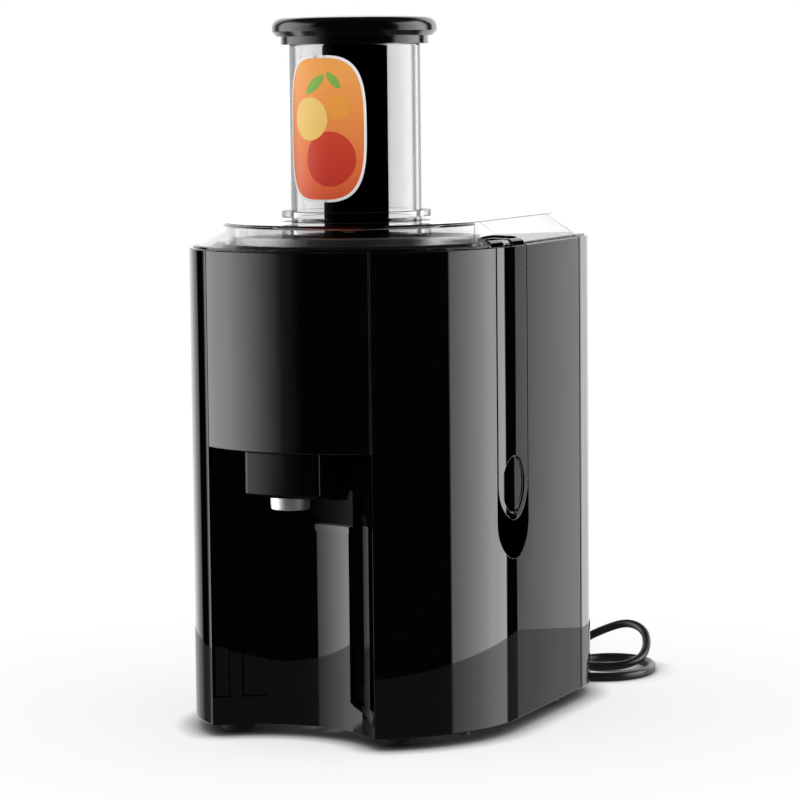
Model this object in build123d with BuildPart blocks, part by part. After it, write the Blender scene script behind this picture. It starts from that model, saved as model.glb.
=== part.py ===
from build123d import *
import os
from math import asin, cos, degrees, pi, radians, sin, tan

# A centrifugal juicer: tall housing, juice bowl and spinning filter round one vertical
# axis, a clear lid with a wide feed chute, two side clamps and a pulp container behind.
# Millimetres, +Z up, +X to the object's right, -Y to its front. The floor is z = 0 and
# the origin lies under the middle of the body's length.

# ---------------------------------------------------------------- driving dimensions
# body in plan: a front circle round the chute axis and a smaller rear circle
front_radius = 103.0
rear_radius = 90.0
rear_offset = 120.0
body_height = 289.0
foot_height = 7.0
wall = 2.5
seam_y = 127.0            # where the pulp container begins, behind the chute axis
seam_gap = 0.5
panel_gap = 0.2           # round covers let into the housing
panel_edge_angle = 0.12
lining_thick = 3.5        # behind the front panel
edge_bevel = 0.7
edge_round = 0.8

# jug bay in the front
bay_radius = 75.0
bay_depth = 41.66         # behind the body's front
bay_width = 112.0         # between the two wing edges
bay_height = 170.0
bay_panel_height = 124.0
bay_panel_width = 58.0
bay_panel_thick = 2.5
bay_lip_height = 4.0
bay_lip_out = 1.8
flank_height = 126.0
flank_width = 6.0
flank_x = 45.5
flank_out = 0.8
plinth_height = 17.0

# ledge over the bay, which carries the motor, and sunk deck round the bowl and lid
ledge_thick = 3.5
ledge_drop = 1.0          # below the bay's ceiling
ledge_hole_gap = 1.0
deck_depth = 4.0
deck_thick = 2.5
deck_hole_gap = 1.0

# clamps and the grooves that they lie in
groove_middle_y = 9.0
groove_depth = 6.0
groove_side_gap = 1.25
finger_depth = 10.0
finger_room = 23.5        # below the clamp
clamp_width = 43.5
clamp_thick = 3.4
clamp_lift = 123.0        # clamp's lower end above the body's bottom edge
clamp_finger_radius = 17.5
clamp_finger_dish = 1.2
clamp_finger_slope = 30.0
clamp_top_gap = 0.4
clamp_edge_round = 0.5
hinge_rise = 4.5          # above the deck
hinge_radius = 3.2
hinge_inset = 7.0         # inside the body's side
hinge_play = 0.5
hinge_block_wall = 1.8
hinge_block_end = 2.0
knuckle_sink = 0.3        # knuckle's arm into the tongue
pin_radius = 1.25
pin_clearance = 0.05
pin_end_gap = 1.0
lug_width = 11.0
lug_gap = 0.4
lug_inset = 0.6           # inside the knuckles' round

# juice bowl and spout
bowl_inset = 13.5         # bowl's wall inside the body's side
bowl_wall = 2.2
bowl_floor_gap = 4.5
bowl_flange = 6.0
bowl_flange_thick = 2.4
bowl_hub_hole = 18.0
bowl_hub_height = 13.0
spout_half_width = 26.0
spout_setback = 2.8
spout_depth = 32.2
spout_height = 27.0       # below the bay's ceiling
spout_corner = 5.0
spout_wall = 2.0
spout_top_gap = 0.5
spout_side_gap = 0.5
spout_lining_gap = 0.8
nozzle_radius = 12.0
nozzle_bore = 10.4
nozzle_height = 7.5
nozzle_inset = 14.5       # behind the spout's front
nozzle_taper = 4.0
nozzle_bevel = 0.5

# filter basket
filter_rise = 7.0         # above the deck
filter_gap = 18.0         # mesh's mouth inside the bowl's wall
filter_flare = 24.5
filter_skin = 0.8
filter_rim_width = 4.0
filter_rim_height = 5.0
filter_rim_lap = 2.0
filter_floor_thick = 3.0
filter_floor_edge = 1.5
filter_upstand = 1.2
filter_hub_radius = 17.0
mesh_seat_gap = 0.5
grater_edge = 4.0         # between the grater disc and the mesh
grater_thick = 1.2
grater_ring_count = 4
grater_ring_edge = 7.0    # outermost teeth inside the disc's edge
grater_ring_pitch = 7.0
tooth_height = 1.6
tooth_width = 2.6
tooth_length = 1.3
tooth_pitch = 7.0
tooth_taper = 20.0
coupling_radius = 12.0
coupling_lobe = 2.2
coupling_lobes = 6
coupling_gap = 0.3
coupling_lift = 6.5       # above the motor deck
coupling_height = 16.0
coupling_cover = 8.0
coupling_bevel = 0.8
coupling_seat_lift = 1.0

# motor
can_radius = 45.0
can_wall = 2.0
can_height = 127.5
can_flange_radius = 55.0
can_flange_thick = 2.0
can_screw_ring = 50.0
can_windows = 8
can_window_rise = 10.0
can_window_height = 24.0
can_window_width = 14.0
stator_gap = 0.4
stator_bore = 29.0
stator_rise = 40.0
stator_height = 56.0
stator_window_depth = 7.0
stator_window_width = 12.0
stator_window_inset = 1.5
coil_height = 6.0
coil_split = 8.0
coil_outer_gap = 2.0
coil_inner_gap = 1.5
air_gap = 1.0             # between armature and stator
armature_slots = 12
armature_slot_depth = 5.0
armature_slot_width = 3.0
winding_height = 3.5
winding_inset = 5.5
shaft_radius = 4.0
shaft_end_gap = 0.3
shaft_top_gap = 1.0
shaft_hole_radius = 6.0
running_clearance = 0.05
bearing_radius = 9.5
bearing_height = 7.0
bearing_seat_wall = 3.0
commutator_radius = 11.0
commutator_rise = 20.0
commutator_height = 16.0
commutator_bars = 24
commutator_groove_depth = 0.8
commutator_groove_width = 0.5
brush_size = 8.0
brush_gap = 0.3
fan_radius = 36.0
fan_rise = 8.0            # above the stator
fan_height = 12.0
fan_plate = 1.6
fan_hub_radius = 9.0
fan_blades = 12
fan_blade_thick = 1.2
fan_blade_end_gap = 2.0
fan_blade_turn = 20.0
motor_deck_inset = 3.5    # inside the bowl's wall
motor_deck_thick = 3.0
deck_rib_height = 3.0
deck_rib_inset = 6.0
deck_rib_thick = 1.6
seal_radius = 10.5
seal_height = 5.0
seal_gap = 0.3
seal_bevel = 1.2

# lid, feed chute and pusher
lid_height = 18.5         # above the deck
lid_edge_gap = 0.4
lid_edge_height = 5.0
lid_rise_inset = 23.0
lid_wall = 2.4
lid_shoulder = 1.2
guard_gap = 3.4           # round the filter's rim
guard_wall = 1.6
guard_drop = 13.0         # below the lid's top
guard_lap = 1.5
chute_bore = 37.5
chute_wall = 2.3
chute_height = 107.0
chute_foot_gap = 23.0     # above the filter's floor
chute_ring_radius = 45.6
chute_ring_lift = 2.7
chute_ring_thick = 3.6
chute_sleeve_depth = 11.0
chute_seat_gap = 0.1
chute_edge_round = 0.8
snap_height = 2.0
snap_reach = 1.6
pusher_column_radius = 19.8
pusher_play = 0.9
pusher_foot_drop = 10.5   # its top below the lid's top
pusher_foot_lift = 8.0    # its face above the chute's lower end
pusher_foot_round = 2.0
pusher_wall = 2.0
pusher_face_thick = 5.0
pusher_rings = (12.0, 22.0, 31.0)
pusher_ring_width = 3.0
pusher_ring_depth = 1.6
cap_radius = 50.3
cap_height = 12.5
cap_lift = 5.0            # above the chute
cap_edge_height = 3.0
cap_collar_radius = 45.0
cap_collar_gap = 0.1
cap_bevel = 2.6
cap_corner = 6.0
cap_crown = 1.8

# pulp container and the cradle of the base under it
pulp_wall = 2.3
pulp_floor_height = 27.0
pulp_front_drop = 6.0
pulp_rest_gap = 0.2
cord_notch_width = 26.0
cradle_gap = 3.0
cradle_wall = 2.5
cradle_front_gap = 1.2    # behind the seam
cradle_rear = 190.0

# base plate, feet and screws
base_thick = 3.0
base_gap = 0.4
foot_front = (56.0, -56.0)
foot_rear = (60.0, 108.0)
foot_radius = 10.0
foot_round = 1.2
foot_stem_radius = 4.0
screw_radius = 1.9
screw_play = 0.1
screw_length = 12.0
screw_head_radius = 3.6
screw_head_height = 2.2
screw_socket_radius = 1.6
screw_socket_depth = 1.2
post_radius = 5.0
post_sink = 4.0           # post's axis inside the wall
post_height = 24.0
rear_post_y = 92.0
front_post_angle = 22.0
vent_ring_radius = 30.0
vent_count = 12
vent_length = 22.0
vent_width = 4.0

# rocker switch, low on the left side
switch_middle_y = 62.0
switch_middle_z = 52.0
switch_length = 30.0
switch_height = 21.0
switch_depth = 16.0
switch_rim = 2.0
switch_rim_thick = 1.2
switch_wall = 1.6
switch_play = 0.3
rocker_half = 12.0
rocker_room = 13.2
rocker_gap = 0.35
rocker_lift = 2.2         # ends above the rim's seat
rocker_waist = 0.6
rocker_keel_half = 3.0
rocker_keel_depth = 4.5
rocker_end_slope = 0.6
rocker_shoulder = 1.0
rocker_pivot_depth = 4.0
rocker_pin_radius = 1.2
rocker_pin_cover = 0.6
rocker_pin_play = 0.1

# cord and plug
cord_diameter = 5.6
cord_exit_z = 17.0
cord_grip_length = 22.0
cord_grip_radius = 5.6
cord_grip_neck = 4.2
grip_flange_thick = 1.6
grip_flange_edge = 1.0
grip_taper = 2.5
grip_rings = 5
grip_ring_start = 6.0
grip_ring_pitch = 2.8
grip_ring_cut = 1.2
grip_ring_wall = 0.9
coil_low = 1.0
coil_across = 2
coil_high = 2
coil_mean_radius = 31.0
coil_middle = (-85.0, 280.0)
tie_arc = 16.0
plug_width = 36.0
plug_thick = 17.0
plug_length = 28.0
plug_corner = 6.0
plug_edge = 1.0
plug_neck_length = 12.0
plug_neck_radius = 5.6
plug_neck_taper = 8.0
plug_pin_radius = 2.4
plug_pin_round = 1.2
plug_pin_length = 19.0
plug_pin_spacing = 19.0

beyond = front_radius + rear_offset     # past the whole body, for cutting tools

# ---------------------------------------------------------------- heights and places
body_bottom = foot_height
body_top = body_bottom + body_height
bay_ceiling = body_bottom + bay_height
plinth_top = body_bottom + plinth_height
bay_lip_top = body_bottom + bay_panel_height
ledge_bottom = bay_ceiling - ledge_drop
ledge_top = ledge_bottom + ledge_thick
deck_top = body_top - deck_depth
deck_bottom = deck_top - deck_thick
base_top = body_bottom + base_thick

motor_deck_top = ledge_top + motor_deck_thick
can_bottom = ledge_top - can_height
can_floor = can_bottom + can_wall
stator_low = can_bottom + stator_rise
stator_high = stator_low + stator_height
commutator_low = can_bottom + commutator_rise
fan_low = stator_high + fan_rise
coupling_bottom = motor_deck_top + coupling_lift
coupling_top = coupling_bottom + coupling_height
hub_bottom = coupling_bottom + coupling_seat_lift

bowl_floor = motor_deck_top + bowl_floor_gap
bowl_rim_top = deck_top + bowl_flange_thick
spout_bottom = bay_ceiling - spout_height
nozzle_bottom = spout_bottom - nozzle_height
filter_low = coupling_top + coupling_cover
filter_high = deck_top + filter_rise
rim_bottom = filter_high - filter_rim_lap

lid_top = deck_top + lid_height
guard_bottom = lid_top - guard_drop
hinge_height = deck_top + hinge_rise
clamp_bottom = body_bottom + clamp_lift
clamp_top = body_top - clamp_top_gap
groove_bottom = clamp_bottom - finger_room
finger_window_top = clamp_bottom + clamp_width / 2
chute_bottom = filter_low + chute_foot_gap
chute_top = lid_top + chute_height
chute_ring_low = lid_top + chute_ring_lift
chute_sleeve_low = lid_top - chute_sleeve_depth
pusher_foot_top = lid_top - pusher_foot_drop
pusher_foot_bottom = chute_bottom + pusher_foot_lift
cap_collar_low = chute_top + cap_collar_gap
cap_low = chute_top + cap_lift
cap_edge = cap_low + cap_edge_height
cap_top = cap_low + cap_height

pulp_floor = body_bottom + pulp_floor_height
pulp_front_top = body_top - pulp_front_drop
cradle_top = pulp_floor - pulp_rest_gap

tilt = asin((front_radius - rear_radius) / rear_offset)      # of the straight sides
axis_y = -(rear_offset + rear_radius - front_radius) / 2
upright = Axis((0, axis_y, 0), (0, 0, 1))
radial_frame = Plane(origin=(0, axis_y, 0), x_dir=(1, 0, 0), z_dir=(0, -1, 0))


def side_x(y, inset=0.0):
    """Half width of the body on its straight side at y behind the chute axis."""
    return ((front_radius - inset) - y * sin(tilt)) / cos(tilt)


housing_rear = seam_y - seam_gap / 2
pulp_front = seam_y + seam_gap / 2
cradle_front = seam_y + cradle_front_gap
bay_middle_y = bay_depth - front_radius - bay_radius
wing_angle = degrees(asin(bay_width / 2 / front_radius))
lining_radius = front_radius - wall - panel_gap - lining_thick

groove_width = clamp_width + 2 * groove_side_gap
groove_x = side_x(groove_middle_y) - groove_depth
finger_x = side_x(groove_middle_y) - finger_depth
hinge_x = side_x(groove_middle_y) - hinge_inset
hinge_room_x = hinge_x - hinge_radius - hinge_play
hinge_block_x = hinge_room_x - hinge_block_wall
lug_radius = hinge_radius - lug_inset
knuckle_width = (clamp_width - lug_width) / 2 - lug_gap
knuckle_arm = hinge_inset - clamp_thick + knuckle_sink
lid_inset = wall + lid_edge_gap

bowl_radius = front_radius - bowl_inset
spout_front = front_radius - spout_setback
spout_back = spout_front - spout_depth
nozzle_y = nozzle_inset - spout_front
filter_high_radius = bowl_radius - filter_gap
filter_low_radius = filter_high_radius - filter_flare
filter_rim_radius = filter_high_radius + filter_rim_width
floor_radius = filter_low_radius + filter_floor_edge
grater_radius = filter_low_radius - grater_edge
grater_rings = [grater_radius - grater_ring_edge - i * grater_ring_pitch for i in range(grater_ring_count)]
guard_radius = filter_rim_radius + guard_gap + guard_wall
motor_deck_radius = bowl_radius - motor_deck_inset
ledge_hole_radius = can_flange_radius + ledge_hole_gap
stator_outer = can_radius - can_wall - stator_gap
armature_radius = stator_bore - air_gap
bearing_places = (can_floor, ledge_top - bearing_height)
chute_radius = chute_bore + chute_wall
pusher_foot_radius = chute_bore - pusher_play

front_post_reach = front_radius - wall - post_sink
front_post_x = front_post_reach * cos(radians(front_post_angle))
front_post_y = -front_post_reach * sin(radians(front_post_angle))
rear_post_x = side_x(rear_post_y, wall + post_sink)
post_spots = ((rear_post_x, rear_post_y), (front_post_x, front_post_y))
post_places = [(side * x, y) for x, y in post_spots for side in (-1, 1)]
foot_places = [(side * x, y) for x, y in (foot_front, foot_rear) for side in (-1, 1)]

switch_plane = Plane(
    origin=(-side_x(switch_middle_y), axis_y + switch_middle_y, switch_middle_z),
    x_dir=(sin(tilt), cos(tilt), 0),
    z_dir=(-cos(tilt), sin(tilt), 0),
)
# local x along the rocker, local y outwards, the pivot along the normal
rocker_plane = Plane(
    origin=switch_plane.origin - switch_plane.z_dir * rocker_pivot_depth,
    x_dir=switch_plane.x_dir,
    z_dir=switch_plane.x_dir.cross(switch_plane.z_dir),
)


# ---------------------------------------------------------------- planes and plans
def level(z):
    """Horizontal plane at height z, centred on the chute axis."""
    return Plane((0, axis_y, z))


def facing_side(x):
    """Upright plane at x, facing +X: local x runs along +Y and local y is height."""
    return Plane(origin=(x, axis_y, 0), x_dir=(0, 1, 0), z_dir=(1, 0, 0))


def facing_front(y):
    """Upright plane at y behind the chute axis, facing -Y: local y is height."""
    return Plane(origin=(0, axis_y + y, 0), x_dir=(1, 0, 0), z_dir=(0, -1, 0))


def facing_rear(y):
    """Upright plane at y behind the chute axis, facing +Y: local y is height."""
    return Plane(origin=(0, axis_y + y, 0), x_dir=(-1, 0, 0), z_dir=(0, 1, 0))


def body_plan(inset=0.0):
    """The body's plan as a sketch: two arcs joined by tangent straight sides."""
    r1 = front_radius - inset
    r2 = rear_radius - inset
    front_right = (r1 * cos(tilt), r1 * sin(tilt))
    rear_right = (r2 * cos(tilt), rear_offset + r2 * sin(tilt))
    front_left = (-front_right[0], front_right[1])
    rear_left = (-rear_right[0], rear_right[1])
    with BuildSketch() as plan:
        with BuildLine():
            ThreePointArc(front_left, (0, -r1), front_right)
            Line(front_right, rear_right)
            ThreePointArc(rear_right, (0, rear_offset + r2), rear_left)
            Line(rear_left, front_left)
        make_face()
    return plan.sketch


def front_sector(inner, outer, half_angle):
    """Ring sector in plan, centred on the front of the chute axis."""
    across = sin(radians(half_angle))
    along = cos(radians(half_angle))
    with BuildSketch() as sector:
        with BuildLine():
            ThreePointArc((-inner * across, -inner * along), (0, -inner), (inner * across, -inner * along))
            Line((inner * across, -inner * along), (outer * across, -outer * along))
            ThreePointArc((outer * across, -outer * along), (0, -outer), (-outer * across, -outer * along))
            Line((-outer * across, -outer * along), (-inner * across, -inner * along))
        make_face()
    return sector.sketch


def strip_between(y_low, y_high, mode):
    """Wide rectangle from y_low to y_high, to keep or cut part of a plan sketch."""
    with Locations((0, (y_low + y_high) / 2)):
        Rectangle(2 * beyond, y_high - y_low, mode=mode)


def bay_circle(extra=0.0, mode=Mode.ADD):
    """Jug bay in plan: a circle that reaches into the front of the body."""
    with Locations((0, bay_middle_y)):
        Circle(bay_radius + extra, mode=mode)


def spout_plan(inset):
    """Spout box in plan: straight sides, rounded corners and a front on the body's curve."""
    with BuildSketch() as box:
        Circle(spout_front - inset)
        with Locations((0, -(spout_front + spout_back + inset) / 2)):
            Rectangle(2 * (spout_half_width - inset), spout_depth - inset, mode=Mode.INTERSECT)
        corners = box.vertices().filter_by(lambda v: v.Y < -(spout_front + spout_back) / 2)
        fillet(corners, spout_corner - inset)
    return box.sketch


def groove_profile(side, x, half_width, bottom, top):
    """Upright strip with a round lower end, on the plane at x on one side of the body."""
    with BuildSketch(facing_side(side * x)) as groove:
        with Locations((groove_middle_y, bottom + half_width)):
            Circle(half_width)
        with Locations((groove_middle_y, (bottom + half_width + top) / 2)):
            Rectangle(2 * half_width, top - bottom - half_width)
    return groove.sketch


def cut_grooves(x_floor, top):
    """Cut the clamp groove from both sides, from x_floor outwards, in a BuildPart."""
    for side in (-1, 1):
        profile = groove_profile(side, x_floor, groove_width / 2, groove_bottom, top)
        extrude(profile, amount=side * beyond, mode=Mode.SUBTRACT)


# ---------------------------------------------------------------- housing
with BuildPart() as housing:
    with BuildSketch(level(body_bottom)):
        add(body_plan())
        strip_between(housing_rear, beyond + seam_y, Mode.SUBTRACT)
    extrude(amount=body_height)
    chamfer(housing.edges(), edge_bevel)
    # jug bay
    with BuildSketch(level(body_bottom)):
        bay_circle(bay_panel_thick + panel_gap)
        Rectangle(bay_width, 2 * beyond, mode=Mode.INTERSECT)
    extrude(amount=bay_height, mode=Mode.SUBTRACT)
    # seat of the front panel, above the bay
    with BuildSketch(level(bay_ceiling)):
        add(front_sector(front_radius - wall - panel_gap, front_radius + wall, wing_angle))
    extrude(amount=body_top - bay_ceiling, mode=Mode.SUBTRACT)
    # lower cavity for the motor
    with BuildSketch(level(body_bottom)):
        add(body_plan(wall))
        strip_between(housing_rear - wall, beyond + seam_y, Mode.SUBTRACT)
        bay_circle(bay_panel_thick + panel_gap + wall, Mode.SUBTRACT)
    extrude(amount=ledge_bottom - body_bottom, mode=Mode.SUBTRACT)
    # slot under the rear wall, for the base plate
    with BuildSketch(level(body_bottom)):
        add(body_plan(wall))
        strip_between(-beyond, housing_rear - 2 * wall, Mode.SUBTRACT)
    extrude(amount=base_thick + base_gap, mode=Mode.SUBTRACT)
    # upper cavity for the bowl, with the grooves' backs left standing
    with BuildSketch(level(ledge_top)):
        Circle(lining_radius)
        strip_between(0, housing_rear - wall, Mode.ADD)
        add(body_plan(wall), mode=Mode.INTERSECT)
        for side in (-1, 1):
            with Locations((side * (groove_x - wall + groove_width / 2), groove_middle_y)):
                Rectangle(groove_width, groove_width + 2 * wall, mode=Mode.SUBTRACT)
    extrude(amount=deck_bottom - ledge_top, mode=Mode.SUBTRACT)
    # hole that the motor hangs through
    with BuildSketch(level(ledge_bottom)):
        Circle(ledge_hole_radius)
    extrude(amount=ledge_thick, mode=Mode.SUBTRACT)
    # passage for the spout through the bay's ceiling
    with BuildSketch(level(bay_ceiling)):
        with Locations((0, -(lining_radius + spout_back - spout_side_gap) / 2)):
            Rectangle(2 * (spout_half_width + spout_side_gap), lining_radius - spout_back + spout_side_gap)
        Circle(lining_radius, mode=Mode.INTERSECT)
    extrude(amount=ledge_top - bay_ceiling, mode=Mode.SUBTRACT)
    # sunk deck with the bowl's round opening
    with BuildSketch(level(deck_top)):
        add(body_plan(wall))
        strip_between(housing_rear, beyond + seam_y, Mode.SUBTRACT)
    extrude(amount=deck_depth, mode=Mode.SUBTRACT)
    with BuildSketch(level(deck_bottom)):
        Circle(bowl_radius + deck_hole_gap)
    extrude(amount=deck_thick, mode=Mode.SUBTRACT)
    # posts for the base screws, moulded onto the side walls
    with BuildSketch(level(base_top)):
        with Locations(*post_places):
            Circle(post_radius)
        add(body_plan(wall / 2), mode=Mode.INTERSECT)
        with Locations(*post_places):
            Circle(screw_radius, mode=Mode.SUBTRACT)
    extrude(amount=post_height)
    # hole for the switch
    with BuildSketch(switch_plane):
        Rectangle(switch_length + switch_play, switch_height + switch_play)
    extrude(amount=-2 * wall, mode=Mode.SUBTRACT)
    # clamp grooves, deeper under the clamp for the fingers
    cut_grooves(groove_x, body_top + wall)
    cut_grooves(finger_x, finger_window_top)

# ---------------------------------------------------------------- front covers
with BuildPart() as front_panel:
    with BuildSketch(level(bay_ceiling)):
        add(front_sector(front_radius - wall, front_radius, wing_angle - panel_edge_angle))
    extrude(amount=body_top - bay_ceiling)
    chamfer(front_panel.faces().sort_by(SortBy.AREA)[-1].edges(), edge_bevel)

with BuildPart() as bay_panel:
    # plinth across the whole bay
    with BuildSketch(level(body_bottom)):
        bay_circle(bay_panel_thick)
        bay_circle(0, Mode.SUBTRACT)
        add(body_plan(), mode=Mode.INTERSECT)
        Rectangle(bay_width - 2 * panel_gap, 2 * beyond, mode=Mode.INTERSECT)
    extrude(amount=plinth_height)
    # raised middle, up to the lip
    with BuildSketch(level(plinth_top)):
        bay_circle(bay_panel_thick)
        bay_circle(0, Mode.SUBTRACT)
        with Locations((0, bay_middle_y + bay_radius)):
            Rectangle(bay_panel_width, bay_radius, mode=Mode.INTERSECT)
    extrude(amount=bay_lip_top - plinth_top)
    # rolled lip along the top
    with BuildSketch(level(bay_lip_top - bay_lip_height)):
        bay_circle(bay_panel_thick)
        bay_circle(-bay_lip_out, Mode.SUBTRACT)
        with Locations((0, bay_middle_y + bay_radius)):
            Rectangle(bay_panel_width + 2 * bay_lip_out, bay_radius, mode=Mode.INTERSECT)
    extrude(amount=bay_lip_height)
    # upright guides in the flanks
    with BuildSketch(level(plinth_top)):
        bay_circle(bay_panel_thick)
        bay_circle(flank_out, Mode.SUBTRACT)
        with Locations((-flank_x, bay_middle_y + bay_radius), (flank_x, bay_middle_y + bay_radius)):
            Rectangle(flank_width, bay_radius, mode=Mode.INTERSECT)
    extrude(amount=body_bottom + flank_height - plinth_top)

# ---------------------------------------------------------------- base plate, feet, screws
with BuildPart() as base_plate:
    with BuildSketch(level(body_bottom)):
        add(body_plan(wall + base_gap))
        strip_between(cradle_rear, beyond + cradle_rear, Mode.SUBTRACT)
        bay_circle(bay_panel_thick + panel_gap + wall + base_gap, Mode.SUBTRACT)
    extrude(amount=base_thick)
    # hollow cradle that carries the pulp container
    with BuildSketch(level(body_bottom)):
        add(body_plan(wall + cradle_gap))
        strip_between(-beyond, cradle_front, Mode.SUBTRACT)
        strip_between(cradle_rear, beyond + cradle_rear, Mode.SUBTRACT)
    extrude(amount=cradle_top - body_bottom)
    with BuildSketch(level(base_top)):
        add(body_plan(wall + cradle_gap + cradle_wall))
        strip_between(-beyond, cradle_front + cradle_wall, Mode.SUBTRACT)
        strip_between(cradle_rear - cradle_wall, beyond + cradle_rear, Mode.SUBTRACT)
    extrude(amount=cradle_top - cradle_wall - base_top, mode=Mode.SUBTRACT)
    # cord outlet
    with BuildSketch(facing_rear(cradle_rear - cradle_wall)):
        with Locations((0, cord_exit_z)):
            Circle(cord_grip_neck)
    extrude(amount=cradle_wall, mode=Mode.SUBTRACT)
    # air slots under the motor
    with BuildSketch(level(body_bottom)):
        with PolarLocations(vent_ring_radius, vent_count):
            SlotOverall(vent_length, vent_width)
    extrude(amount=base_thick, mode=Mode.SUBTRACT)
    # seats of the feet and screw holes
    with BuildSketch(level(body_bottom)):
        with Locations(*foot_places):
            Circle(foot_stem_radius)
        with Locations(*post_places):
            Circle(screw_radius + screw_play)
    extrude(amount=base_thick, mode=Mode.SUBTRACT)

with BuildPart() as feet:
    with BuildSketch(level(0)):
        with Locations(*foot_places):
            Circle(foot_radius)
    extrude(amount=foot_height)
    fillet(feet.faces().group_by(Axis.Z)[0].edges(), foot_round)
    with BuildSketch(level(foot_height)):
        with Locations(*foot_places):
            Circle(foot_stem_radius)
    extrude(amount=base_thick)

with BuildPart() as base_screws:
    with BuildSketch(level(body_bottom - screw_head_height)):
        with Locations(*post_places):
            Circle(screw_head_radius)
            Circle(screw_socket_radius, mode=Mode.SUBTRACT)
    extrude(amount=screw_head_height)
    with BuildSketch(level(body_bottom - screw_head_height + screw_socket_depth)):
        with Locations(*post_places):
            Circle(screw_radius)
    extrude(amount=screw_length)

# ---------------------------------------------------------------- motor and drive
with BuildPart() as motor_deck:
    with BuildSketch(level(ledge_top)):
        Circle(motor_deck_radius)
        with Locations((0, -(beyond + spout_back - 2 * spout_side_gap) / 2)):
            notch_length = beyond - spout_back + 2 * spout_side_gap
            Rectangle(2 * (spout_half_width + 2 * spout_side_gap), notch_length, mode=Mode.SUBTRACT)
        Circle(shaft_hole_radius, mode=Mode.SUBTRACT)
    extrude(amount=motor_deck_thick)
    with BuildSketch(level(ledge_top - bearing_height)):
        Circle(bearing_radius + bearing_seat_wall)
        Circle(bearing_radius, mode=Mode.SUBTRACT)
    extrude(amount=bearing_height)
    with BuildSketch(level(ledge_top)):
        with PolarLocations(can_screw_ring, 4, start_angle=45):
            Circle(screw_radius + screw_play)
    extrude(amount=motor_deck_thick, mode=Mode.SUBTRACT)
    # rib that stiffens the deck's edge, broken at the spout
    with BuildSketch(level(motor_deck_top)):
        Circle(motor_deck_radius - deck_rib_inset)
        Circle(motor_deck_radius - deck_rib_inset - deck_rib_thick, mode=Mode.SUBTRACT)
        with Locations((0, -motor_deck_radius)):
            break_length = 2 * (motor_deck_radius - spout_back + wall)
            Rectangle(2 * (spout_half_width + wall), break_length, mode=Mode.SUBTRACT)
    extrude(amount=deck_rib_height)

with BuildPart() as motor_can:
    with BuildSketch(level(can_bottom)):
        Circle(can_radius)
    extrude(amount=can_height)
    with BuildSketch(level(ledge_top - can_flange_thick)):
        Circle(can_flange_radius)
    extrude(amount=can_flange_thick)
    with BuildSketch(level(can_floor)):
        Circle(can_radius - can_wall)
    extrude(amount=can_height, mode=Mode.SUBTRACT)
    with BuildSketch(level(can_floor)):
        Circle(bearing_radius + bearing_seat_wall)
        Circle(bearing_radius, mode=Mode.SUBTRACT)
    extrude(amount=bearing_height)
    with BuildSketch(level(ledge_top - can_flange_thick)):
        with PolarLocations(can_screw_ring, 4, start_angle=45):
            Circle(screw_radius + screw_play)
    extrude(amount=can_flange_thick, mode=Mode.SUBTRACT)
    # air windows round the foot of the can and beside the fan
    for low, height in ((can_bottom + can_window_rise, can_window_height), (fan_low, fan_height)):
        with BuildSketch(level(low)):
            with PolarLocations(can_radius, can_windows, start_angle=180 / can_windows):
                Rectangle(4 * can_wall, can_window_width)
        extrude(amount=height, mode=Mode.SUBTRACT)

with BuildPart() as can_screws:
    with BuildSketch(level(motor_deck_top)):
        with PolarLocations(can_screw_ring, 4, start_angle=45):
            Circle(screw_head_radius)
    extrude(amount=screw_head_height)
    with BuildSketch(level(ledge_top - can_flange_thick)):
        with PolarLocations(can_screw_ring, 4, start_angle=45):
            Circle(screw_radius)
    extrude(amount=can_flange_thick + motor_deck_thick)

with BuildPart() as stator:
    with BuildSketch(level(stator_low)):
        Circle(stator_outer)
        Circle(stator_bore, mode=Mode.SUBTRACT)
        # winding windows either side of the two poles
        with PolarLocations((stator_outer + stator_bore) / 2 - stator_window_inset, 4, start_angle=45):
            Rectangle(stator_window_depth, stator_window_width, mode=Mode.SUBTRACT)
    extrude(amount=stator_height)

with BuildPart() as field_coils:
    for low in (stator_low - coil_height, stator_high):
        with BuildSketch(level(low)):
            Circle(stator_outer - coil_outer_gap)
            Circle(stator_bore + coil_inner_gap, mode=Mode.SUBTRACT)
            Rectangle(2 * stator_outer, coil_split, mode=Mode.SUBTRACT)
        extrude(amount=coil_height)

with BuildPart() as bearings:
    for low in bearing_places:
        with BuildSketch(level(low)):
            Circle(bearing_radius)
            Circle(shaft_radius + running_clearance, mode=Mode.SUBTRACT)
        extrude(amount=bearing_height)

with BuildPart() as brush_holders:
    holder_low_x = commutator_radius + brush_gap
    holder_high_x = can_radius - can_wall - brush_gap
    with BuildSketch(level(commutator_low + (commutator_height - brush_size) / 2)):
        for side in (-1, 1):
            with Locations((side * (holder_low_x + holder_high_x) / 2, 0)):
                Rectangle(holder_high_x - holder_low_x, brush_size)
    extrude(amount=brush_size)

with BuildPart() as shaft_seal:
    with BuildSketch(level(motor_deck_top)):
        Circle(seal_radius)
        Circle(shaft_radius + seal_gap, mode=Mode.SUBTRACT)
    extrude(amount=seal_height)
    chamfer(shaft_seal.edges().group_by(Axis.Z)[-1].sort_by(SortBy.LENGTH)[-1], seal_bevel)

with BuildPart() as motor_shaft:
    with BuildSketch(level(can_floor + shaft_end_gap)):
        Circle(shaft_radius)
    extrude(amount=coupling_top - shaft_top_gap - can_floor - shaft_end_gap)

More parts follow.
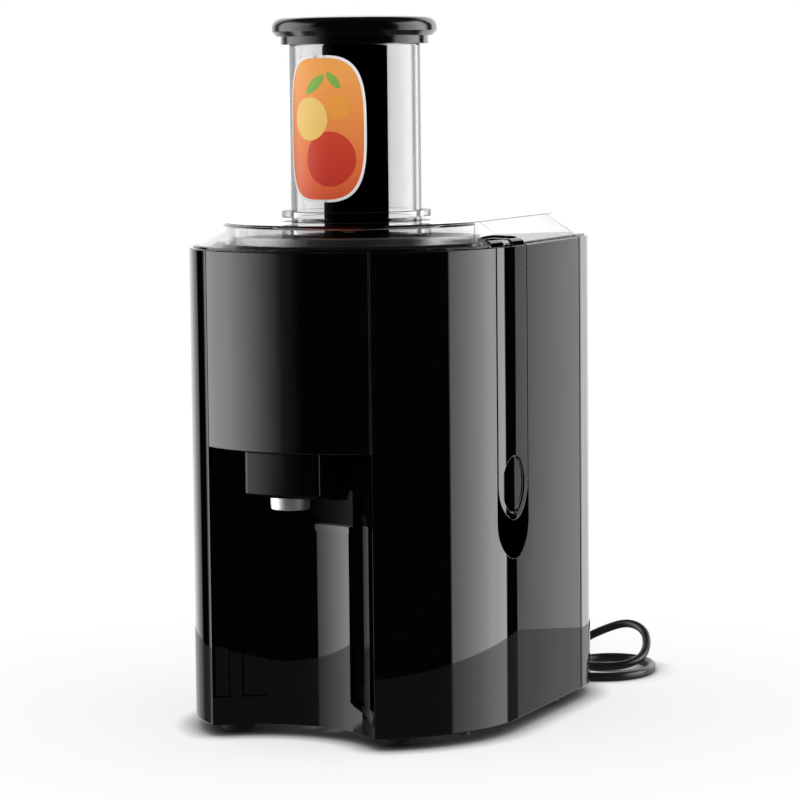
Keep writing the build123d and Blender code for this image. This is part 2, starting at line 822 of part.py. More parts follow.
with BuildPart() as armature:
    with BuildSketch(level(stator_low)):
        Circle(armature_radius)
        with PolarLocations(armature_radius, armature_slots):
            Rectangle(2 * armature_slot_depth, armature_slot_width, mode=Mode.SUBTRACT)
        Circle(shaft_radius, mode=Mode.SUBTRACT)
    extrude(amount=stator_height)
    for low in (stator_low - winding_height, stator_high):
        with BuildSketch(level(low)):
            Circle(armature_radius - winding_inset)
            Circle(shaft_radius, mode=Mode.SUBTRACT)
        extrude(amount=winding_height)

with BuildPart() as commutator:
    with BuildSketch(level(commutator_low)):
        Circle(commutator_radius)
        with PolarLocations(commutator_radius, commutator_bars):
            Rectangle(2 * commutator_groove_depth, commutator_groove_width, mode=Mode.SUBTRACT)
        Circle(shaft_radius, mode=Mode.SUBTRACT)
    extrude(amount=commutator_height)

with BuildPart() as cooling_fan:
    with BuildSketch(level(fan_low)):
        Circle(fan_radius)
        Circle(shaft_radius, mode=Mode.SUBTRACT)
    extrude(amount=fan_plate)
    with BuildSketch(level(fan_low)):
        Circle(fan_hub_radius)
        Circle(shaft_radius, mode=Mode.SUBTRACT)
    extrude(amount=fan_height)
    with BuildSketch(level(fan_low)):
        with PolarLocations((fan_radius + fan_hub_radius) / 2, fan_blades):
            with Locations(Rotation(0, 0, fan_blade_turn)):
                Rectangle(fan_radius - fan_hub_radius - fan_blade_end_gap, fan_blade_thick)
        Circle(fan_radius, mode=Mode.INTERSECT)
    extrude(amount=fan_height)

with BuildPart() as drive_coupling:
    with BuildSketch(level(coupling_bottom)):
        Circle(coupling_radius)
        with PolarLocations(coupling_radius, coupling_lobes):
            Circle(coupling_lobe)
        Circle(shaft_radius, mode=Mode.SUBTRACT)
    extrude(amount=coupling_height)
    chamfer(drive_coupling.faces().sort_by(Axis.Z)[-1].outer_wire().edges(), coupling_bevel)

# ---------------------------------------------------------------- filter basket
with BuildPart() as filter_hub:
    with BuildSketch(level(filter_low - filter_floor_thick)):
        Circle(floor_radius)
    extrude(amount=filter_floor_thick)
    with BuildSketch(level(hub_bottom)):
        Circle(filter_hub_radius)
    extrude(amount=filter_low - filter_floor_thick - hub_bottom)
    # socket that drops over the lobed coupling
    with BuildSketch(level(hub_bottom)):
        Circle(coupling_radius + coupling_gap)
        with PolarLocations(coupling_radius, coupling_lobes):
            Circle(coupling_lobe + coupling_gap)
    extrude(amount=coupling_top + coupling_gap - hub_bottom, mode=Mode.SUBTRACT)
    # upstand that holds the foot of the mesh
    with BuildSketch(level(filter_low)):
        Circle(floor_radius)
        Circle(filter_low_radius + mesh_seat_gap, mode=Mode.SUBTRACT)
    extrude(amount=filter_upstand)

with BuildPart() as filter_mesh:
    with BuildSketch(radial_frame):
        with BuildLine():
            Polyline(
                (filter_low_radius - filter_skin, filter_low),
                (filter_low_radius, filter_low),
                (filter_high_radius, filter_high),
                (filter_high_radius - filter_skin, filter_high),
                close=True,
            )
        make_face()
    revolve(axis=upright)

with BuildPart() as filter_rim:
    with BuildSketch(level(rim_bottom)):
        Circle(filter_rim_radius)
        Circle(filter_high_radius, mode=Mode.SUBTRACT)
    extrude(amount=filter_rim_height)
    fillet(filter_rim.edges().group_by(Axis.Z)[-1], edge_round)

with BuildPart() as grater_disc:
    with BuildSketch(level(filter_low)):
        Circle(grater_radius)
    extrude(amount=grater_thick)
    for ring in grater_rings:
        with BuildSketch(level(filter_low + grater_thick)):
            with PolarLocations(ring, round(2 * pi * ring / tooth_pitch)):
                Rectangle(tooth_width, tooth_length)
        extrude(amount=tooth_height, taper=tooth_taper)

# ---------------------------------------------------------------- juice bowl and spout
with BuildPart() as juice_bowl:
    with BuildSketch(level(bowl_floor)):
        Circle(bowl_radius)
    extrude(amount=bowl_rim_top - bowl_floor)
    # flange on the deck, cut back beside the clamp hinges
    with BuildSketch(level(deck_top)):
        Circle(bowl_radius + bowl_flange)
        Rectangle(2 * (hinge_block_x - lid_edge_gap), 2 * beyond, mode=Mode.INTERSECT)
    extrude(amount=bowl_flange_thick)
    with BuildSketch(level(bowl_floor + bowl_wall)):
        Circle(bowl_radius - bowl_wall)
    extrude(amount=bowl_rim_top - bowl_floor, mode=Mode.SUBTRACT)
    with BuildSketch(level(bowl_floor)):
        Circle(bowl_hub_hole + bowl_wall)
    extrude(amount=bowl_hub_height)
    # spout box under the floor, its front in line with the panel above
    with BuildSketch(level(spout_bottom)):
        add(spout_plan(0))
    extrude(amount=bowl_floor - spout_bottom)
    spout_rim = juice_bowl.edges().group_by(Axis.Z)[0]
    chamfer(spout_rim, spout_wall)
    with BuildSketch(level(bay_ceiling - spout_top_gap)):
        Rectangle(2 * beyond, 2 * beyond)
        Circle(lining_radius - spout_lining_gap, mode=Mode.SUBTRACT)
    extrude(amount=bowl_floor - bay_ceiling + spout_top_gap, mode=Mode.SUBTRACT)
    with BuildSketch(level(spout_bottom + spout_wall)):
        add(spout_plan(spout_wall))
        Circle(lining_radius - spout_lining_gap - spout_wall, mode=Mode.INTERSECT)
    extrude(amount=bowl_floor + bowl_wall - spout_bottom - spout_wall, mode=Mode.SUBTRACT)
    with BuildSketch(level(spout_bottom)):
        with Locations((0, nozzle_y)):
            Circle(nozzle_bore)
    extrude(amount=spout_wall, mode=Mode.SUBTRACT)
    with BuildSketch(level(bowl_floor)):
        Circle(bowl_hub_hole)
    extrude(amount=bowl_hub_height, mode=Mode.SUBTRACT)

with BuildPart() as spout_nozzle:
    with BuildSketch(level(nozzle_bottom)):
        with Locations((0, nozzle_y)):
            Circle(nozzle_radius - nozzle_height * tan(radians(nozzle_taper)))
    extrude(amount=nozzle_height, taper=-nozzle_taper)
    with BuildSketch(level(nozzle_bottom)):
        with Locations((0, nozzle_y)):
            Circle(nozzle_bore)
    extrude(amount=nozzle_height, mode=Mode.SUBTRACT)
    chamfer(spout_nozzle.edges().group_by(Axis.Z)[0].sort_by(SortBy.LENGTH)[-1], nozzle_bevel)

# ---------------------------------------------------------------- pulp container
with BuildPart() as pulp_container:
    with BuildSketch(level(body_bottom)):
        add(body_plan())
        strip_between(-beyond, pulp_front, Mode.SUBTRACT)
    extrude(amount=body_height)
    chamfer(pulp_container.edges(), edge_bevel)
    with BuildSketch(level(pulp_floor + pulp_wall)):
        add(body_plan(pulp_wall))
        strip_between(-beyond, pulp_front + pulp_wall, Mode.SUBTRACT)
    extrude(amount=body_top - pulp_floor - pulp_wall, mode=Mode.SUBTRACT)
    # skirt below the floor, open to the front
    with BuildSketch(level(body_bottom)):
        add(body_plan(pulp_wall))
        strip_between(-beyond, pulp_front - pulp_wall, Mode.SUBTRACT)
    extrude(amount=pulp_floor - body_bottom, mode=Mode.SUBTRACT)
    # the front wall ends under the lid
    with BuildSketch(level(pulp_front_top)):
        add(body_plan(pulp_wall))
        strip_between(pulp_front + pulp_wall + seam_gap, beyond + seam_y, Mode.SUBTRACT)
    extrude(amount=pulp_front_drop, mode=Mode.SUBTRACT)
    # arch in the skirt for the cord
    with BuildSketch(facing_rear(rear_offset)):
        with Locations((0, pulp_floor - cord_notch_width / 2)):
            Circle(cord_notch_width / 2)
        with Locations((0, (body_bottom + pulp_floor - cord_notch_width / 2) / 2)):
            Rectangle(cord_notch_width, pulp_floor - cord_notch_width / 2 - body_bottom)
    extrude(amount=beyond, mode=Mode.SUBTRACT)

# ---------------------------------------------------------------- lid and feed chute
# outer form of the lid, for its shell and again for the hinge blocks
with BuildPart() as lid_form:
    with BuildSketch(level(deck_top)):
        add(body_plan(lid_inset))
    extrude(amount=lid_edge_height)
    with BuildSketch(level(deck_top + lid_edge_height)):
        add(body_plan(lid_inset))
    with BuildSketch(level(lid_top)):
        add(body_plan(lid_rise_inset))
    loft()

# blocks that carry the clamp hinges, filled up to the lid's skin
with BuildPart() as hinge_blocks:
    with BuildSketch(level(deck_top)):
        with Locations((0, groove_middle_y)):
            Rectangle(2 * beyond, groove_width + 2 * hinge_block_end)
            Rectangle(2 * hinge_block_x, 2 * groove_width, mode=Mode.SUBTRACT)
    extrude(amount=lid_height)
    add(lid_form.part, mode=Mode.INTERSECT)

with BuildPart() as lid:
    add(lid_form.part)
    with BuildSketch(level(deck_top)):
        add(body_plan(lid_inset + lid_wall))
    extrude(amount=lid_edge_height - lid_shoulder, mode=Mode.SUBTRACT)
    with BuildSketch(level(deck_top + lid_edge_height - lid_shoulder)):
        add(body_plan(lid_inset + lid_wall))
    with BuildSketch(level(lid_top - lid_wall)):
        add(body_plan(lid_rise_inset + lid_shoulder))
    loft(mode=Mode.SUBTRACT)
    # room for the clamp's knuckles in each block, with a lug between them
    add(hinge_blocks.part)
    for side in (-1, 1):
        with BuildSketch(level(deck_top)):
            with Locations((side * (hinge_room_x + groove_width / 2), groove_middle_y)):
                Rectangle(groove_width, groove_width)
        extrude(amount=lid_height, mode=Mode.SUBTRACT)
        with BuildSketch(facing_front(groove_middle_y + lug_width / 2)):
            with Locations((side * (hinge_block_x + hinge_x) / 2, hinge_height)):
                Rectangle(hinge_x - hinge_block_x, 2 * lug_radius)
            with Locations((side * hinge_x, hinge_height)):
                Circle(lug_radius)
                Circle(pin_radius, mode=Mode.SUBTRACT)
        extrude(amount=lug_width)
    # guard ring round the front of the filter
    with BuildSketch(level(guard_bottom)):
        Circle(guard_radius)
        Circle(guard_radius - guard_wall, mode=Mode.SUBTRACT)
        strip_between(0, beyond, Mode.SUBTRACT)
    extrude(amount=guard_drop - guard_lap)
    # hole for the chute
    with BuildSketch(level(lid_top - lid_wall)):
        Circle(chute_ring_radius + chute_seat_gap)
    extrude(amount=lid_wall, mode=Mode.SUBTRACT)

with BuildPart() as feed_chute:
    with BuildSketch(level(chute_bottom)):
        Circle(chute_radius)
    extrude(amount=chute_top - chute_bottom)
    # ring above the lid, thick sleeve through it and a snap edge under it
    with BuildSketch(level(chute_ring_low)):
        Circle(chute_ring_radius)
    extrude(amount=chute_ring_thick)
    with BuildSketch(level(chute_sleeve_low)):
        Circle(chute_ring_radius)
    extrude(amount=chute_sleeve_depth)
    with BuildSketch(level(lid_top - lid_wall - snap_height)):
        Circle(chute_ring_radius + snap_reach)
    extrude(amount=snap_height)
    with BuildSketch(level(chute_bottom)):
        Circle(chute_bore)
    extrude(amount=chute_top - chute_bottom, mode=Mode.SUBTRACT)
    fillet(feed_chute.edges().group_by(Axis.Z)[-1], chute_edge_round)

with BuildPart() as clamp_pins:
    with BuildSketch(facing_front(groove_middle_y + clamp_width / 2 - pin_end_gap)):
        with Locations((-hinge_x, hinge_height), (hinge_x, hinge_height)):
            Circle(pin_radius)
    extrude(amount=clamp_width - 2 * pin_end_gap)


def finger_dish(side):
    """Round recess with a sloping edge and a floor that runs along the body's skin."""
    with BuildPart() as dish:
        with BuildSketch(level(clamp_bottom)):
            add(body_plan(-clamp_finger_dish))
            add(body_plan(clamp_finger_dish), mode=Mode.SUBTRACT)
        extrude(amount=clamp_width)
        behind = (side * groove_x, axis_y + groove_middle_y, finger_window_top)
        with BuildSketch(Plane(origin=behind, z_dir=(side, 0, 0))):
            Circle(clamp_finger_radius - groove_depth * tan(radians(clamp_finger_slope)))
        extrude(amount=2 * groove_depth, taper=-clamp_finger_slope, mode=Mode.INTERSECT)
    return dish


def clamp(side):
    """Side clamp: a tongue in the body's skin, hung from two knuckles inside the lid's edge."""
    dish = finger_dish(side)
    with BuildPart() as tongue:
        with BuildSketch(level(clamp_bottom)):
            add(body_plan())
            add(body_plan(clamp_thick), mode=Mode.SUBTRACT)
        extrude(amount=clamp_top - clamp_bottom)
        profile = groove_profile(side, groove_x, clamp_width / 2, clamp_bottom, clamp_top)
        extrude(profile, amount=side * beyond, mode=Mode.INTERSECT)
        outline = tongue.faces().sort_by(Axis.X)[-1 if side > 0 else 0].outer_wire().edges()
        fillet(outline.sort_by(Axis.Z)[:-1], clamp_edge_round)
        arm_height = clamp_top - hinge_height + hinge_radius
        for end in (-1, 1):
            middle = groove_middle_y + end * (clamp_width - knuckle_width) / 2
            with BuildSketch(facing_front(middle + knuckle_width / 2)):
                with Locations((side * (hinge_x + knuckle_arm / 2), clamp_top - arm_height / 2)):
                    Rectangle(knuckle_arm, arm_height)
                with Locations((side * hinge_x, hinge_height)):
                    Circle(hinge_radius)
                    Circle(pin_radius + pin_clearance, mode=Mode.SUBTRACT)
            extrude(amount=knuckle_width)
        add(dish.part, mode=Mode.SUBTRACT)
    return tongue


clamp_left = clamp(-1)
clamp_right = clamp(1)

# ---------------------------------------------------------------- pusher
with BuildPart() as pusher_foot:
    with BuildSketch(level(pusher_foot_bottom)):
        Circle(pusher_foot_radius)
    extrude(amount=pusher_foot_top - pusher_foot_bottom)
    fillet(pusher_foot.edges().group_by(Axis.Z)[-1], pusher_foot_round)
    # hollow above the thick pressing face, open into the column
    with BuildSketch(level(pusher_foot_bottom + pusher_face_thick)):
        Circle(pusher_foot_radius - pusher_wall)
    hollow_height = pusher_foot_top - 2 * pusher_wall - pusher_foot_bottom - pusher_face_thick
    extrude(amount=hollow_height, mode=Mode.SUBTRACT)
    with BuildSketch(level(pusher_foot_top - 2 * pusher_wall)):
        Circle(pusher_column_radius - pusher_wall)
    extrude(amount=2 * pusher_wall, mode=Mode.SUBTRACT)
    # rings cut into the pressing face
    with BuildSketch(level(pusher_foot_bottom)):
        for ring in pusher_rings:
            Circle(ring)
            Circle(ring - pusher_ring_width, mode=Mode.SUBTRACT)
    extrude(amount=pusher_ring_depth, mode=Mode.SUBTRACT)

with BuildPart() as pusher_column:
    with BuildSketch(level(pusher_foot_top)):
        Circle(pusher_column_radius)
        Circle(pusher_column_radius - pusher_wall, mode=Mode.SUBTRACT)
    extrude(amount=cap_collar_low - pusher_foot_top)

crown_sphere = (cap_radius**2 + cap_crown**2) / (2 * cap_crown)
with BuildPart() as pusher_cap:
    with BuildSketch(radial_frame) as cap_profile:
        with BuildLine():
            Polyline(
                (0, cap_top),
                (0, cap_collar_low),
                (cap_collar_radius, cap_collar_low),
                (cap_collar_radius, cap_low),
                (cap_radius - cap_bevel, cap_low),
                (cap_radius, cap_edge),
                (cap_radius, cap_top - cap_crown),
            )
            ThreePointArc(
                (cap_radius, cap_top - cap_crown),
                (cap_radius / 2, cap_top - crown_sphere + (crown_sphere**2 - (cap_radius / 2) ** 2) ** 0.5),
                (0, cap_top),
            )
        make_face()
        fillet(cap_profile.vertices().group_by(Axis.X)[-1].sort_by(Axis.Y)[-1], cap_corner)
    revolve(axis=upright)

# ---------------------------------------------------------------- switch
rocker_length = switch_height - 2 * switch_wall      # along the pivot
with BuildPart() as switch_frame:
    with BuildSketch(switch_plane):
        RectangleRounded(switch_length + 2 * switch_rim, switch_height + 2 * switch_rim, switch_rim)
    extrude(amount=switch_rim_thick)
    with BuildSketch(switch_plane):
        Rectangle(switch_length, switch_height)
    extrude(amount=-switch_depth)
    with BuildSketch(switch_plane) as rocker_window:
        Rectangle(2 * rocker_room, rocker_length)
    extrude(rocker_window.sketch, amount=switch_rim_thick, mode=Mode.SUBTRACT)
    extrude(rocker_window.sketch, amount=-(switch_depth - switch_wall), mode=Mode.SUBTRACT)
    with BuildSketch(rocker_plane):
        Circle(rocker_pin_radius + pin_clearance)
    extrude(amount=switch_height / 2 - rocker_pin_cover, both=True, mode=Mode.SUBTRACT)

with BuildPart() as switch_rocker:
    with BuildSketch(rocker_plane):
        with BuildLine():
            Polyline(
                (-rocker_half, rocker_pivot_depth + rocker_lift),
                (0, rocker_pivot_depth + rocker_waist),
                (rocker_half, rocker_pivot_depth + rocker_lift),
                (rocker_half - rocker_end_slope, rocker_shoulder),
                (rocker_keel_half, -rocker_keel_depth),
                (-rocker_keel_half, -rocker_keel_depth),
                (-rocker_half + rocker_end_slope, rocker_shoulder),
                close=True,
            )
        make_face()
    extrude(amount=rocker_length / 2 - rocker_gap, both=True)
    with BuildSketch(rocker_plane):
        Circle(rocker_pin_radius)
    extrude(amount=switch_height / 2 - rocker_pin_cover - rocker_pin_play, both=True)

# ---------------------------------------------------------------- cord and plug
with BuildPart() as cord_grip:
    with BuildSketch(facing_rear(cradle_rear - cradle_wall - grip_flange_thick)):
        with Locations((0, cord_exit_z)):
            Circle(cord_grip_radius + grip_flange_edge)
    extrude(amount=grip_flange_thick)
    with BuildSketch(facing_rear(cradle_rear - cradle_wall)):
        with Locations((0, cord_exit_z)):
            Circle(cord_grip_neck)
    extrude(amount=cradle_wall)
    with BuildSketch(facing_rear(cradle_rear)):
        with Locations((0, cord_exit_z)):
            Circle(cord_grip_radius)
    extrude(amount=cord_grip_length, taper=grip_taper)
    # flex rings
    for ring in range(grip_rings):
        with BuildSketch(facing_rear(cradle_rear + grip_ring_start + ring * grip_ring_pitch)):
            with Locations((0, cord_exit_z)):
                Circle(cord_grip_radius + grip_flange_edge)
                Circle(cord_diameter / 2 + grip_ring_wall, mode=Mode.SUBTRACT)
        extrude(amount=grip_ring_cut, mode=Mode.SUBTRACT)

# The cord leaves the grip, droops to the floor, makes a low turn to the right, rises in a
# loop and goes left behind the body to its coil. Points are x, y behind the chute axis, z.
floor_z = cord_diameter / 2
coil_z = coil_low + floor_z
cord_points = [
    (0, cradle_rear + cord_grip_length, cord_exit_z),
    (0, 230, cord_exit_z),
    (0.5, 249, 11.6),
    (4, 267, 6.6),
    (14, 281, 10),
    (28, 290, 18),
    (46, 293, 24.5),
    (62, 286, 21),
    (71, 271, 13),
    (74, 254, 6.5),
    (68, 239, 3.4),
    (54, 232, floor_z),
    (38, 236, floor_z),
    (30, 250, floor_z),
    (34, 266, floor_z),
    (48, 275, floor_z),
    (65, 273, floor_z),
    (79, 260, floor_z),
    (87, 241, floor_z),
    (89, 220, floor_z),
    (81, 201, floor_z),
    (62, 192, floor_z),
    (43, 199, floor_z),
    (27, 212, floor_z),
    (7, 222, floor_z),
    (-14, 229, floor_z),
    (-36, 233, floor_z),
    (-57, 239.5, floor_z),
    (-77, 246, coil_z),
]
plug_start = -74.0
plug_y = 331.0
plug_z = plug_thick / 2
tail_points = [
    (-116, 284, coil_z),
    (-116, 304, coil_z),
    (-108, 322, 5.5),
    (-92, plug_y, plug_z),
    (plug_start, plug_y, plug_z),
]


def bend_radii(points):
    """Largest radius at each inner point: 0.45 of the shorter run over tan(half the turn)."""
    radii = []
    for before, here, after in zip(points, points[1:], points[2:]):
        run_in = Vector(*here) - Vector(*before)
        run_out = Vector(*after) - Vector(*here)
        turn = radians(run_in.get_angle(run_out))
        radii.append(0.45 * min(run_in.length, run_out.length) / tan(turn / 2))
    return radii


def cord_run(points):
    """Round cord along straight runs joined by tangent arcs."""
    placed = [(x, axis_y + y, z) for x, y, z in points]
    radii = bend_radii(placed)
    print("cord bend radii", [round(r, 1) for r in radii])
    with BuildPart() as tube:
        with BuildLine() as path:
            FilletPolyline(*placed, radius=radii)
        route = path.wires()[0]
        with BuildSketch(Plane(origin=route @ 0, z_dir=route % 0)):
            Circle(cord_diameter / 2)
        sweep(path=route)
    filled = tube.part.volume / (route.length * pi * cord_diameter**2 / 4)
    print("cord length", round(route.length, 1), "volume over section times length", round(filled, 4))
    return tube


cord_tube = cord_run(cord_points)
cord_tail = cord_run(tail_points)

coil_width = coil_across * cord_diameter
coil_height_all = coil_high * cord_diameter
with BuildPart() as cord_coil:
    with BuildSketch(level(coil_low)):
        with Locations(coil_middle):
            Circle(coil_mean_radius + coil_width / 2)
            Circle(coil_mean_radius - coil_width / 2, mode=Mode.SUBTRACT)
    extrude(amount=coil_height_all)

with BuildPart() as cord_tie:
    tie_plane = Plane(origin=(coil_middle[0], axis_y + coil_middle[1], 0), x_dir=(1, 0, 0), z_dir=(0, -1, 0))
    with BuildSketch(tie_plane):
        with Locations((coil_mean_radius, coil_low + coil_height_all / 2)):
            Rectangle(coil_width + 2 * coil_low, coil_height_all + 2 * coil_low)
            Rectangle(coil_width, coil_height_all, mode=Mode.SUBTRACT)
    revolve(axis=Axis(tie_plane.origin, (0, 0, 1)), revolution_arc=tie_arc)

plug_face = plug_start + plug_neck_length + plug_length
with BuildPart() as plug_body:
    with BuildSketch(facing_side(plug_start)):
        with Locations((plug_y, plug_z)):
            Circle(plug_neck_radius - plug_neck_length * tan(radians(plug_neck_taper)))
    extrude(amount=plug_neck_length, taper=-plug_neck_taper)
    with BuildSketch(facing_side(plug_start + plug_neck_length)):
        with Locations((plug_y, plug_z)):
            RectangleRounded(plug_width, plug_thick, plug_corner)
    extrude(amount=plug_length)
    fillet(plug_body.faces().sort_by(Axis.X)[-1].outer_wire().edges(), plug_edge)

with BuildPart() as plug_pins:
    with BuildSketch(facing_side(plug_face)):
        with Locations((plug_y - plug_pin_spacing / 2, plug_z), (plug_y + plug_pin_spacing / 2, plug_z)):
            Circle(plug_pin_radius)
    extrude(amount=plug_pin_length)
    fillet(plug_pins.faces().sort_by(Axis.X)[-2:].edges(), plug_pin_round)

# ---------------------------------------------------------------- export
pieces = {
    "housing": housing,
    "front_panel": front_panel,
    "bay_panel": bay_panel,
    "base_plate": base_plate,
    "feet": feet,
    "base_screws": base_screws,
    "motor_deck": motor_deck,
    "motor_can": motor_can,
    "can_screws": can_screws,
    "stator": stator,
    "field_coils": field_coils,
    "bearings": bearings,
    "brush_holders": brush_holders,
    "shaft_seal": shaft_seal,
    "motor_shaft": motor_shaft,
    "armature": armature,
    "commutator": commutator,
    "cooling_fan": cooling_fan,
    "drive_coupling": drive_coupling,
    "filter_hub": filter_hub,
    "filter_mesh": filter_mesh,
    "filter_rim": filter_rim,
    "grater_disc": grater_disc,
    "juice_bowl": juice_bowl,
    "spout_nozzle": spout_nozzle,
    "pulp_container": pulp_container,
    "lid": lid,
    "feed_chute": feed_chute,
    "clamp_pins": clamp_pins,
    "clamp_left": clamp_left,
    "clamp_right": clamp_right,
    "pusher_foot": pusher_foot,
    "pusher_column": pusher_column,
    "pusher_cap": pusher_cap,
    "switch_frame": switch_frame,
    "switch_rocker": switch_rocker,
    "cord_grip": cord_grip,
    "cord_tube": cord_tube,
    "cord_coil": cord_coil,
    "cord_tail": cord_tail,
    "cord_tie": cord_tie,
    "plug_body": plug_body,
    "plug_pins": plug_pins,
}
os.makedirs("parts", exist_ok=True)
for name, piece in pieces.items():
    piece.part.label = name
    export_step(piece.part, f"parts/{name}.step")
    box = piece.part.bounding_box()
    extents = [round(v, 1) for v in (*box.min, *box.max)]
    print(name, round(piece.part.volume), len(piece.part.solids()), extents)
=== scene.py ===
import math
import bmesh
import bpy
from mathutils import Matrix, Vector


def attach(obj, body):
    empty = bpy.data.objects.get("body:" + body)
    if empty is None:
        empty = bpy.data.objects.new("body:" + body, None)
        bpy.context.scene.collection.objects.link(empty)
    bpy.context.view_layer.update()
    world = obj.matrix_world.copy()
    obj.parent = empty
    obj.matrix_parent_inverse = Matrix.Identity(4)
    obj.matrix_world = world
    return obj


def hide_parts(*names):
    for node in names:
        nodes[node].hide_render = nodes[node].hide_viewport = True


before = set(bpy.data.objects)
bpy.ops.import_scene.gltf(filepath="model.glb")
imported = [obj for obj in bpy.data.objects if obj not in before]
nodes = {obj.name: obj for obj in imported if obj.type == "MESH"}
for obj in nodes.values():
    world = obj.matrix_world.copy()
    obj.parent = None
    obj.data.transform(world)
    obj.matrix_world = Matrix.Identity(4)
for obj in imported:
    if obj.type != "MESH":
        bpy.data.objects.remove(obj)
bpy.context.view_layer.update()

AXIS_Y = -0.0535          # the feed chute's axis, in the part's frame
CHUTE = 0.0398            # the feed chute's outer radius


# ---------------------------------------------------------------- camera
def aim_camera():
    """A long lens to the right of the front, at the chute's height, tilted down and rolled a little."""
    azimuth, pitch, roll = math.radians(29.01), math.radians(6.45), math.radians(0.68)
    spot = Vector((1.0699, -1.9828, 0.4008))
    level = math.cos(pitch)
    look = Vector((-math.sin(azimuth) * level, math.cos(azimuth) * level, -math.sin(pitch)))
    across = Vector((math.cos(azimuth), math.sin(azimuth), 0))
    up = across.cross(look)
    right = across * math.cos(roll) - up * math.sin(roll)
    up = up * math.cos(roll) + across * math.sin(roll)
    data = bpy.data.cameras.new("camera")
    data.lens = 162.0
    data.sensor_width = 36.0
    data.shift_x = 0.0503
    data.shift_y = 0.0986
    data.clip_end = 50
    camera = bpy.data.objects.new("camera", data)
    camera.matrix_world = Matrix((
        (right.x, up.x, -look.x, spot.x),
        (right.y, up.y, -look.y, spot.y),
        (right.z, up.z, -look.z, spot.z),
        (0, 0, 0, 1),
    ))
    bpy.context.scene.collection.objects.link(camera)
    bpy.context.scene.camera = camera


aim_camera()


# ---------------------------------------------------------------- node helpers
def shader(name, color, roughness, metallic=0.0, **sockets):
    """A new Principled material; returns the material, its node tree and the shader node."""
    mat = bpy.data.materials.new(name)
    mat.use_nodes = True
    tree = mat.node_tree
    bsdf = tree.nodes["Principled BSDF"]
    bsdf.inputs["Base Color"].default_value = (*color, 1)
    bsdf.inputs["Roughness"].default_value = roughness
    bsdf.inputs["Metallic"].default_value = metallic
    for key, value in sockets.items():
        bsdf.inputs[key.replace("_", " ")].default_value = value
    return mat, tree, bsdf


def place(tree, scale=(1, 1, 1)):
    """Object coordinates, stretched by scale."""
    coords = tree.nodes.new("ShaderNodeTexCoord")
    mapping = tree.nodes.new("ShaderNodeMapping")
    mapping.inputs["Scale"].default_value = scale
    tree.links.new(coords.outputs["Object"], mapping.inputs["Vector"])
    return mapping.outputs["Vector"]


def parts(tree, vector):
    """The X, Y and Z of a vector, as sockets by name."""
    split = tree.nodes.new("ShaderNodeSeparateXYZ")
    tree.links.new(vector, split.inputs["Vector"])
    return split.outputs


def noise(tree, where, scale, detail=3.0):
    """Soft noise, with scale in patches to the metre."""
    node = tree.nodes.new("ShaderNodeTexNoise")
    node.inputs["Scale"].default_value = scale
    node.inputs["Detail"].default_value = detail
    tree.links.new(where, node.inputs["Vector"])
    return node.outputs["Fac"]


def spread(tree, source, low, high, start=0.0, end=1.0, ease="LINEAR"):
    """Maps start..end to low..high."""
    node = tree.nodes.new("ShaderNodeMapRange")
    node.interpolation_type = ease
    node.inputs["From Min"].default_value = start
    node.inputs["From Max"].default_value = end
    node.inputs["To Min"].default_value = low
    node.inputs["To Max"].default_value = high
    tree.links.new(source, node.inputs["Value"])
    return node.outputs["Result"]


def calc(tree, kind, a, b=0.0):
    """A math node; each input is a number or a socket."""
    node = tree.nodes.new("ShaderNodeMath")
    node.operation = kind
    for socket, value in zip(node.inputs, (a, b)):
        if isinstance(value, (int, float)):
            socket.default_value = value
        else:
            tree.links.new(value, socket)
    return node.outputs["Value"]


def product(tree, a, b):
    return calc(tree, "MULTIPLY", a, b)


def span(tree, a, b):
    """The length of the line that goes a one way and b across."""
    return calc(tree, "SQRT", calc(tree, "ADD", product(tree, a, a), product(tree, b, b)))


def between(tree, value, low, high):
    """1 where value lies between low and high, else 0."""
    return product(tree, calc(tree, "GREATER_THAN", value, low), calc(tree, "LESS_THAN", value, high))


def blend(tree, share, first, second):
    """A colour that turns from first to second as share goes from 0 to 1."""
    node = tree.nodes.new("ShaderNodeMix")
    node.data_type = "RGBA"
    node.inputs["A"].default_value = (*first, 1)
    node.inputs["B"].default_value = (*second, 1)
    tree.links.new(share, node.inputs["Factor"])
    return node.outputs["Result"]


def mix_shaders(tree, share, first, second):
    node = tree.nodes.new("ShaderNodeMixShader")
    tree.links.new(share, node.inputs["Fac"])
    tree.links.new(first, node.inputs[1])
    tree.links.new(second, node.inputs[2])
    return node.outputs["Shader"]


def add_shaders(tree, first, second):
    node = tree.nodes.new("ShaderNodeAddShader")
    tree.links.new(first, node.inputs[0])
    tree.links.new(second, node.inputs[1])
    return node.outputs["Shader"]


def bump(tree, bsdf, height, strength, distance, edge=0.0):
    """Bump from a height, over edges rounded by the Bevel node."""
    node = tree.nodes.new("ShaderNodeBump")
    node.inputs["Strength"].default_value = strength
    node.inputs["Distance"].default_value = distance
    tree.links.new(height, node.inputs["Height"])
    if edge:
        bevel = tree.nodes.new("ShaderNodeBevel")
        bevel.inputs["Radius"].default_value = edge
        tree.links.new(bevel.outputs["Normal"], node.inputs["Normal"])
    tree.links.new(node.outputs["Normal"], bsdf.inputs["Normal"])


# ---------------------------------------------------------------- materials
BLACK = (0.0012, 0.0012, 0.0013)
PATCHES, GRAIN, WAVE = 55, 900, 9     # to the metre: changes of roughness, moulding grain, long wave


